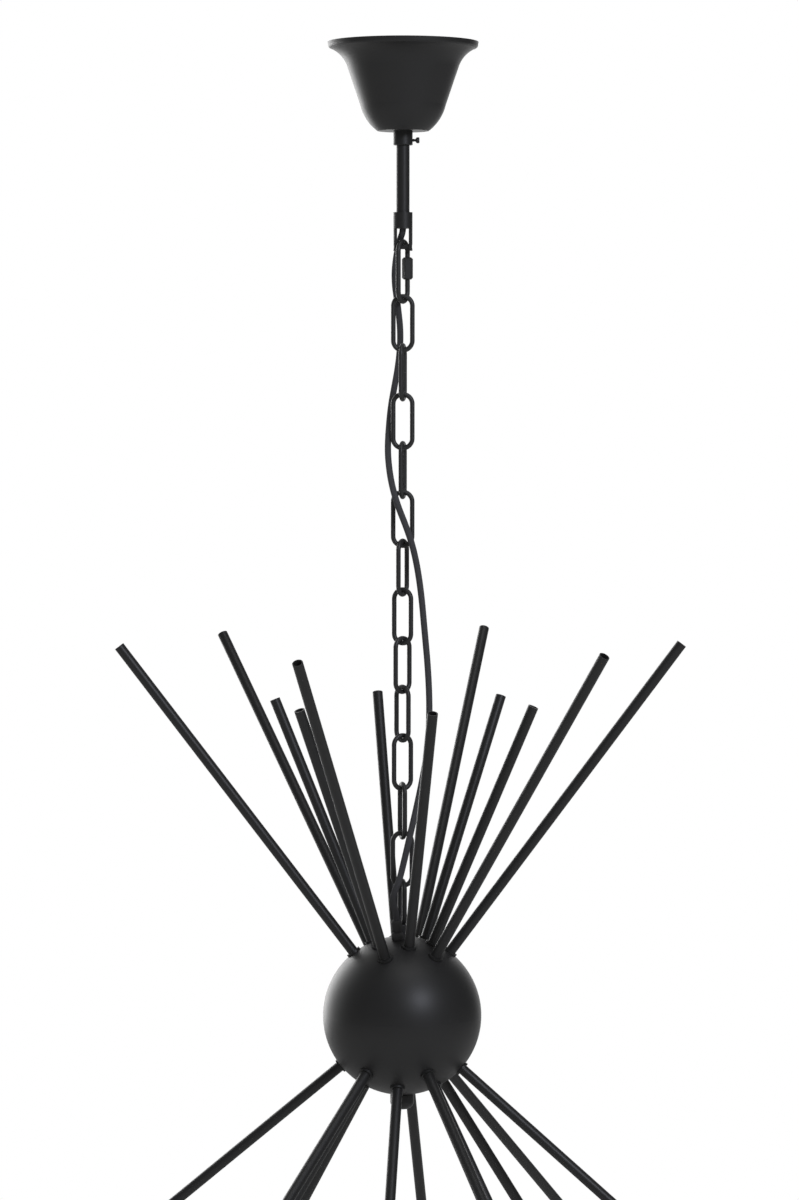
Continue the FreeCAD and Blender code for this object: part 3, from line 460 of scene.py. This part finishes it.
class CHANDELIER_OT_lace_cord(bpy.types.Operator):
    """Laces the supply cord through the chain, in one stretch for each hinge of the chain"""

    bl_idname = "chandelier.lace_cord"
    bl_label = "Lace the cord"

    def execute(self, context):
        settings = context.scene.chandelier_cord
        line = self.route_line(settings.steps)
        rings = self.rings(line)
        cuts = self.cuts(line)
        start = cuts[0]
        for k, end in enumerate(cuts[1:]):
            self.stretch(k, rings[start:end + 1], line[start:end + 1], settings)
            start = end
        return {"FINISHED"}

    def route_line(self, steps):
        """Points read from the smooth spline that the route's points control."""
        curve = bpy.data.curves.new("cord_route", "CURVE")
        curve.dimensions = "3D"
        spline = curve.splines.new("NURBS")
        spline.points.add(len(CORD_ROUTE) - 1)
        for point, (x, y, z) in zip(spline.points, CORD_ROUTE):
            point.co = (x * MM, y * MM, z * MM, 1)
        spline.order_u = 3
        spline.use_endpoint_u = True
        spline.resolution_u = steps
        carrier = bpy.data.objects.new("cord_route", curve)
        context = bpy.context
        context.scene.collection.objects.link(carrier)
        context.view_layer.update()
        mesh = bpy.data.meshes.new_from_object(carrier)
        line = [vert.co.copy() for vert in mesh.vertices]
        bpy.data.objects.remove(carrier)
        bpy.data.curves.remove(curve)
        bpy.data.meshes.remove(mesh)
        return line if line[0].z > line[-1].z else line[::-1]

    def rings(self, line):
        """A frame at every point of the line, turned as little as possible from the last."""
        frames = []
        way = (line[1] - line[0]).normalized()
        turn = UP.rotation_difference(way)
        for before, point, after in zip([line[0]] + line[:-1], line, line[1:] + [line[-1]]):
            ahead = (after - before).normalized()
            turn = way.rotation_difference(ahead) @ turn
            way = ahead
            frames.append(Matrix.Translation(point) @ turn.to_matrix().to_4x4())
        return frames

    def cuts(self, line):
        """Where one stretch ends and the next begins: halfway between two hinges."""
        hinges = [JOINTS[body + "_swing"]["pos_m"][2] for body in CHAIN[1:]]
        halfway = [(high + low) / 2 for high, low in zip(hinges, hinges[1:])]
        middle = [min(range(len(line)), key=lambda k: abs(line[k].z - height)) for height in halfway]
        return [0] + middle + [len(line) - 1]

    def stretch(self, k, rings, line, settings):
        """One stretch of the cord, round one hinge of the chain, cut halfway to the hinges beside it."""
        bm = bmesh.new()
        radius = settings.diameter / 2
        bmesh.ops.create_circle(bm, cap_ends=True, segments=settings.sides, radius=radius)
        bmesh.ops.transform(bm, matrix=rings[0], verts=bm.verts)
        edges = list(bm.edges)
        for before, after in zip(rings, rings[1:]):
            grown = bmesh.ops.extrude_edge_only(bm, edges=edges)["geom"]
            verts = [item for item in grown if isinstance(item, bmesh.types.BMVert)]
            edges = [item for item in grown if isinstance(item, bmesh.types.BMEdge)
                     and all(vert in verts for vert in item.verts)]
            bmesh.ops.transform(bm, matrix=after @ before.inverted(), verts=verts)
        bmesh.ops.contextual_create(bm, geom=edges)
        self.map_length(bm, rings)
        made = piece("cord_%02d" % (k + 1), bm, "black_cord")
        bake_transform(made)
        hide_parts("supply_cord")

    def map_length(self, bm, rings):
        """Maps the jacket: across is the turn round the cord, up is metres along it."""
        layer = bm.loops.layers.uv.new("UVMap")
        start = rings[0].inverted()
        for face in bm.faces:
            for loop in face.loops:
                place = start @ loop.vert.co
                loop[layer].uv = (math.atan2(place.y, place.x) / math.tau, -loop.vert.co.z)


class CHANDELIER_OT_fit_relief(bpy.types.Operator):
    """Makes the waisted strain relief where the cord enters the ball"""

    bl_idname = "chandelier.fit_relief"
    bl_label = "Fit the strain relief"

    def execute(self, context):
        seat, top, bore, tail, tail_radius = 61.93, 78.2, 2.55, 58.7, 3.75
        flange = [(4.4, seat), (4.65, 62.4), (4.7, 63.2), (4.7, 65.2), (4.6, 66.3), (4.25, 67.2)]
        waist = [(3.75, 67.8), (3.5, 68.2), (3.52, 68.6), (3.85, 69.2)]
        sleeve = [(4.12, 70.2), (4.2, 71.5), (4.2, 74.6), (4.12, 76.0), (3.85, 77.1), (3.4, 77.9),
                  (2.9, top)]
        outer = flange + waist + sleeve + [(bore, top - 0.1)]
        inner = [(bore, tail), (tail_radius, tail), (3.8, 60.4), (3.4, 60.6), (3.4, seat)]
        bm = lathe(bmesh.new(), outer + inner, 48, closed=True)
        way = (Vector(CORD_ROUTE[-2]) - Vector(CORD_ROUTE[-1])).normalized()
        made = piece("strain_relief", bm, "black_plastic", along(way, BALL_CENTRE))
        shares(made, "black_plastic", "ball", "cord_gland")
        return {"FINISHED"}


class CHANDELIER_OT_cut_thread(bpy.types.Operator):
    """Cuts the thread on the part of the stem that the canopy hides"""

    bl_idname = "chandelier.cut_thread"
    bl_label = "Cut the stem's thread"

    def execute(self, context):
        low, high, rings = -58.0, -19.2, 310
        crest, root, pitch, depth, run_out = 5.36, 5.05, 1.0, 0.24, 0.6
        wall = [(crest, low + (high - low) * k / rings) for k in range(rings + 1)]
        bm = lathe(bmesh.new(), [(root, low)] + wall + [(root, high)], 40, closed=True)
        wind_thread(bm, low - run_out, high + run_out, pitch, depth)
        shares(piece("stem_thread", bm, "zinc_steel", sharp=60), "zinc_steel", "ceiling_mount")
        return {"FINISHED"}


class CHANDELIER_OT_make_thumb_screw(bpy.types.Operator):
    """Makes the collar's thumb screw, with a thread and a pinched head"""

    bl_idname = "chandelier.make_thumb_screw"
    bl_label = "Make the thumb screw"

    def execute(self, context):
        low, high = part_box("thumb_screw")
        centre = (low + high) / 2
        tip, neck, head = low.x / MM, 8.4, high.x / MM
        rings, thread, chamfer, pinched = 36, 1.2, 0.3, 0.34
        foot = tip + chamfer
        wall = [(thread, foot + (neck - foot) * k / rings) for k in range(rings + 1)]
        outline = [(0, tip), (1.0, tip)] + wall + [(0.95, neck + 0.2), (0.95, neck + 1.2)]
        outline += [(1.7, neck + 1.7), (2.25, neck + 2.2), (2.3, neck + 2.6), (2.3, head - 0.5),
                    (2.1, head - 0.15), (1.7, head), (0, head)]
        bm = lathe(bmesh.new(), outline, 32)
        wind_thread(bm, tip + 0.1, neck + 0.1, 0.7, 0.3)
        for vert in bm.verts:
            pinch = min(1.0, max(0.0, (vert.co.z / MM - neck - 1.2) / 1.2))
            vert.co.x *= 1 - pinched * pinch
        way = along(Vector((1, 0, 0)), Vector((0, 0, centre.z)))
        turned = piece("thumb_screw_turned", bm, "black_coat", way)
        shares(turned, "black_coat", "thumb_screw", "thumb_screw")
        return {"FINISHED"}


class CHANDELIER_OT_hang_lamps(bpy.types.Operator):
    """Puts a golf-ball lamp with its screw cap and filament in every lampholder"""

    bl_idname = "chandelier.hang_lamps"
    bl_label = "Hang the lamps"

    def execute(self, context):
        settings = context.scene.chandelier_lamp
        lamps = sorted(name for name in NODES if name.startswith("lamp_0") or name.startswith("lamp_1"))
        for name in lamps:
            way = Vector(JOINTS[name + "_draw"]["axis"]).normalized()
            place = along(way, BALL_CENTRE + way * self.seat(name, way))
            globe = piece(name + "_globe", self.globe(settings), "clear_glass", place, sharp=60)
            shares(globe, "clear_glass", name, name)
            cap = piece(name + "_cap", self.cap(settings), "zinc_steel", place)
            shares(cap, "zinc_steel", name, name)
            tip = piece(name + "_insulator", self.insulator(), "cap_insulator", place)
            shares(tip, "black_plastic", name, name)
            strips = piece(name + "_strips", self.strips(settings), "strip_phosphor", place)
            shares(strips, "lead_insulation", name, name)
        return {"FINISHED"}

    def seat(self, name, way):
        """How far from the ball's centre the glass meets the cap: the tip less the glass's height."""
        mesh = NODES[name].data
        reach = max((vert.co - BALL_CENTRE).dot(way) for vert in mesh.vertices)
        return reach - bpy.context.scene.chandelier_lamp.height

    def globe(self, settings):
        """The blown globe with its wall, and the glass mount that carries the strips."""
        radius = settings.globe / 2 / MM
        middle = settings.height / MM - radius
        wall = settings.wall / MM
        outer = [(6.55, 0.1), (6.6, 2.0), (6.75, 4.5), (7.2, 6.6), (8.6, 9.3), (11.4, 12.1),
                 (14.6, 14.4)]
        outer += arc((0, middle), radius, -38, 90, 40)
        inner = arc((0, middle), radius - wall, 90, -38, 40)
        inner += [(14.0, 15.0), (10.9, 12.8), (8.0, 10.0), (6.45, 7.0), (5.95, 4.6), (5.8, 2.0),
                  (5.75, 0.1)]
        bm = lathe(bmesh.new(), outer + inner, 64, closed=False)
        bmesh.ops.bridge_loops(bm, edges=[edge for edge in bm.edges if edge.is_boundary])
        mount = [(5.5, 0.2), (4.6, 2.6), (2.7, 6.0), (1.9, 10.0), (1.7, 20.0), (1.9, 21.0), (1.5, 22.0),
                 (0, 22.3)]
        lathe(bm, [(0, 0.2)] + mount, 24)
        return bm

    def cap(self, settings):
        """The screw cap's shell: a rim round the glass, a rolled thread, and the solder tip."""
        rings = 90
        low, high = -19.0, -1.2
        wall = [(6.9, high + (low - high) * k / rings) for k in range(rings + 1)]
        outline = [(6.62, 1.2), (6.95, 1.2), (6.98, 0.6), (6.9, 0.0), (6.75, -0.5)] + wall
        outline += [(6.2, -19.6), (5.7, -19.7), (5.7, -19.2), (6.2, -18.4), (6.2, 0.6)]
        bm = lathe(bmesh.new(), outline, 48, closed=True)
        wind_thread(bm, low, high, settings.pitch / MM, 0.55, inside=6.5)
        lathe(bm, [(0, -23.0), (2.2, -22.95), (3.2, -22.6), (3.5, -22.1), (3.4, -21.7), (0, -21.6)], 32)
        return bm

    def insulator(self):
        """The dark glass between the cap's shell and its tip."""
        outline = [(0, -21.62), (3.3, -21.62), (4.2, -21.2), (5.0, -20.5), (5.65, -19.75), (5.65, -19.3),
                   (0, -19.3)]
        return lathe(bmesh.new(), outline, 40)

    def strips(self, settings):
        """The light strips: slim rounded rods that lean out from the mount's foot to its head."""
        bm = bmesh.new()
        length, thick, lean, slant = 24.0, 0.75, 3.4, math.radians(9)
        for k in range(settings.strips):
            outline = [(0, 0)] + arc((0, thick), thick, -60, 0, 3)
            outline += arc((0, length - thick), thick, 0, 60, 3) + [(0, length)]
            part = lathe(bmesh.new(), outline, 12)
            tilt = Matrix.Rotation(slant, 4, "Y")
            turn = Matrix.Rotation(math.tau * k / settings.strips, 4, "Z")
            shift = Matrix.Translation((lean * MM, 0, 13.5 * MM))
            bmesh.ops.transform(part, matrix=turn @ shift @ tilt, verts=part.verts)
            self.merge(bm, part)
        for k in range(settings.strips):
            turn = math.tau * k / settings.strips
            out = Vector((math.cos(turn), math.sin(turn), 0))
            foot = out * lean * MM + UP * 13.6 * MM
            head = foot + out * math.sin(slant) * length * MM + UP * (length - 0.4) * MM
            self.wire(bm, out * 1.3 * MM + UP * 9.0 * MM, foot)
            self.wire(bm, out * 1.2 * MM + UP * 21.4 * MM, head)
        return bm

    def wire(self, bm, start, end):
        """A fine straight support wire between two points."""
        way = end - start
        bmesh.ops.create_cone(bm, cap_ends=True, segments=8, radius1=0.2 * MM, radius2=0.2 * MM,
                              depth=way.length, matrix=along(way.normalized(), (start + end) / 2))

    def merge(self, bm, part):
        """Adds one bmesh to another."""
        mesh = bpy.data.meshes.new("part")
        part.to_mesh(mesh)
        part.free()
        bm.from_mesh(mesh)
        bpy.data.meshes.remove(mesh)


class CHANDELIER_OT_set_studio(bpy.types.Operator):
    """Sets the camera, the pale floor and the soft lights"""

    bl_idname = "chandelier.set_studio"
    bl_label = "Set the studio"

    def execute(self, context):
        settings = context.scene.chandelier_studio
        self.camera(settings)
        self.floor(settings)
        self.world(settings)
        white, cool = (1.0, 1.0, 1.0), (0.86, 0.89, 1.0)
        self.softbox("key_light", (1.7, -2.85, 1.1), 0.8, 0.8, 46.0, cool)
        self.softbox("left_light", (-1.9, 2.9, -0.3), 1.6, 2.4, 34.0, white)
        self.softbox("top_light", (0.4, -0.8, 2.2), 1.6, 1.6, 12.0, white)
        context.scene.view_settings.view_transform = "Standard"
        return {"FINISHED"}

    def camera(self, settings):
        """The photograph's view: almost level, three metres off, looking a little down."""
        data = bpy.data.cameras.new("camera")
        data.sensor_width = 36.0
        data.lens = 125.32
        data.clip_end = 100.0
        camera = bpy.data.objects.new("camera", data)
        right, below, look_down, roll, pan = 0.00764, -0.28313, 2.633, -0.051, 0.179
        camera.location = (right, -settings.distance, below)
        camera.rotation_euler = [math.radians(angle) for angle in (90 - look_down, roll, pan)]
        bpy.context.scene.collection.objects.link(camera)
        bpy.context.scene.camera = camera

    def floor(self, settings):
        """A pale floor that stays near white to the camera, keeps shadows, and is clear from below."""
        bm = bmesh.new()
        bmesh.ops.create_grid(bm, x_segments=1, y_segments=1, size=8.0)
        bmesh.ops.translate(bm, verts=bm.verts, vec=(0, 0, settings.floor))
        mesh = bpy.data.meshes.new("floor")
        bm.to_mesh(mesh)
        bm.free()
        floor = bpy.data.objects.new("floor", mesh)
        bpy.context.scene.collection.objects.link(floor)
        material = bpy.data.materials.new("pale_floor")
        material.use_nodes = True
        tree = material.node_tree
        shader = tree.nodes["Principled BSDF"]
        shader.inputs["Base Color"].default_value = (0.9, 0.9, 0.9, 1)
        shader.inputs["Roughness"].default_value = 0.9
        shine = tree.nodes.new("ShaderNodeEmission")
        path = tree.nodes.new("ShaderNodeLightPath")
        strength = spread(tree, path.outputs["Is Glossy Ray"], 1.0, 0.45, 0.0, 1.0)
        tree.links.new(strength, shine.inputs["Strength"])
        seen = tree.nodes.new("ShaderNodeMixShader")
        clear = tree.nodes.new("ShaderNodeMixShader")
        rays = self.seen_rays(tree)
        tree.links.new(rays, seen.inputs["Fac"])
        tree.links.new(shader.outputs["BSDF"], seen.inputs[1])
        tree.links.new(shine.outputs["Emission"], seen.inputs[2])
        under = tree.nodes.new("ShaderNodeNewGeometry").outputs["Backfacing"]
        tree.links.new(under, clear.inputs["Fac"])
        tree.links.new(seen.outputs["Shader"], clear.inputs[1])
        tree.links.new(tree.nodes.new("ShaderNodeBsdfTransparent").outputs["BSDF"], clear.inputs[2])
        tree.links.new(clear.outputs["Shader"], tree.nodes["Material Output"].inputs["Surface"])
        mesh.materials.append(material)

    def seen_rays(self, tree):
        """1 for rays that show the background itself: to the camera, in gloss and through glass."""
        path = tree.nodes.new("ShaderNodeLightPath")
        total = path.outputs["Is Camera Ray"]
        for name in ("Is Glossy Ray", "Is Transmission Ray"):
            add = tree.nodes.new("ShaderNodeMath")
            add.operation = "MAXIMUM"
            tree.links.new(total, add.inputs[0])
            tree.links.new(path.outputs[name], add.inputs[1])
            total = add.outputs["Value"]
        return total

    def world(self, settings):
        """A white surround to the eye, with a plain even light on the object."""
        world = bpy.data.worlds.new("studio")
        bpy.context.scene.world = world
        world.use_nodes = True
        tree = world.node_tree
        plain = tree.nodes["Background"]
        plain.inputs["Color"].default_value = (1, 1, 1, 1)
        plain.inputs["Strength"].default_value = settings.fill
        seen = tree.nodes.new("ShaderNodeBackground")
        tree.links.new(self.surround(tree), seen.inputs["Color"])
        mix = tree.nodes.new("ShaderNodeMixShader")
        tree.links.new(self.seen_rays(tree), mix.inputs["Fac"])
        tree.links.new(plain.outputs["Background"], mix.inputs[1])
        tree.links.new(seen.outputs["Background"], mix.inputs[2])
        tree.links.new(mix.outputs["Shader"], tree.nodes["World Output"].inputs["Surface"])

    def surround(self, tree):
        """White to the eye and through glass. In gloss, white behind and to the left, dim in front."""
        lean = tree.nodes.new("ShaderNodeVectorMath")
        lean.operation = "DOT_PRODUCT"
        lean.inputs[1].default_value = (-0.36, 0.93, 0.02)
        tree.links.new(tree.nodes.new("ShaderNodeTexCoord").outputs["Generated"], lean.inputs[0])
        gloss = spread(tree, lean.outputs["Value"], 0.06, 1.9, 0.42, 0.97)
        path = tree.nodes.new("ShaderNodeLightPath")
        mix = tree.nodes.new("ShaderNodeMix")
        mix.data_type = "FLOAT"
        mix.inputs["A"].default_value = 1.0
        tree.links.new(path.outputs["Is Glossy Ray"], mix.inputs["Factor"])
        tree.links.new(gloss, mix.inputs["B"])
        return mix.outputs["Result"]

    def softbox(self, name, place, width, height, energy, colour):
        """One soft rectangular lamp, aimed at the ball."""
        data = bpy.data.lights.new(name, "AREA")
        data.shape = "RECTANGLE"
        data.size = width
        data.size_y = height
        data.energy = energy
        data.color = colour
        lamp = bpy.data.objects.new(name, data)
        lamp.location = place
        aim = Vector((0, 0, -0.5)) - Vector(place)
        lamp.rotation_euler = aim.to_track_quat("-Z", "Y").to_euler()
        bpy.context.scene.collection.objects.link(lamp)


# ---------------------------------------------------------------- panel and run


class CHANDELIER_PT_sidebar(bpy.types.Panel):
    """Lists the chandelier's pieces and settings in the sidebar"""

    bl_label = "Sputnik chandelier"
    bl_idname = "CHANDELIER_PT_sidebar"
    bl_space_type = "VIEW_3D"
    bl_region_type = "UI"
    bl_category = "Chandelier"

    def draw(self, context):
        for operator in OPERATORS:
            self.layout.operator(operator.bl_idname)
        for name in SETTINGS:
            group = getattr(context.scene, name)
            box = self.layout.box()
            for key in group.bl_rna.properties.keys():
                if key not in ("rna_type", "name"):
                    box.prop(group, key)


SETTINGS = {
    "chandelier_finish": FinishSettings,
    "chandelier_cord": CordSettings,
    "chandelier_lamp": LampSettings,
    "chandelier_studio": StudioSettings,
}
OPERATORS = [
    CHANDELIER_OT_coat_frame,
    CHANDELIER_OT_lace_cord,
    CHANDELIER_OT_fit_relief,
    CHANDELIER_OT_cut_thread,
    CHANDELIER_OT_make_thumb_screw,
    CHANDELIER_OT_hang_lamps,
    CHANDELIER_OT_set_studio,
]


def register():
    for group in SETTINGS.values():
        bpy.utils.register_class(group)
    for name, group in SETTINGS.items():
        setattr(bpy.types.Scene, name, PointerProperty(type=group))
    for operator in OPERATORS:
        bpy.utils.register_class(operator)
    bpy.utils.register_class(CHANDELIER_PT_sidebar)


def unregister():
    bpy.utils.unregister_class(CHANDELIER_PT_sidebar)
    for operator in reversed(OPERATORS):
        bpy.utils.unregister_class(operator)
    for name, group in SETTINGS.items():
        delattr(bpy.types.Scene, name)
        bpy.utils.unregister_class(group)


def main():
    register()
    for operator in OPERATORS:
        group, name = operator.bl_idname.split(".")
        getattr(getattr(bpy.ops, group), name)()


if __name__ == "__main__":
    main()
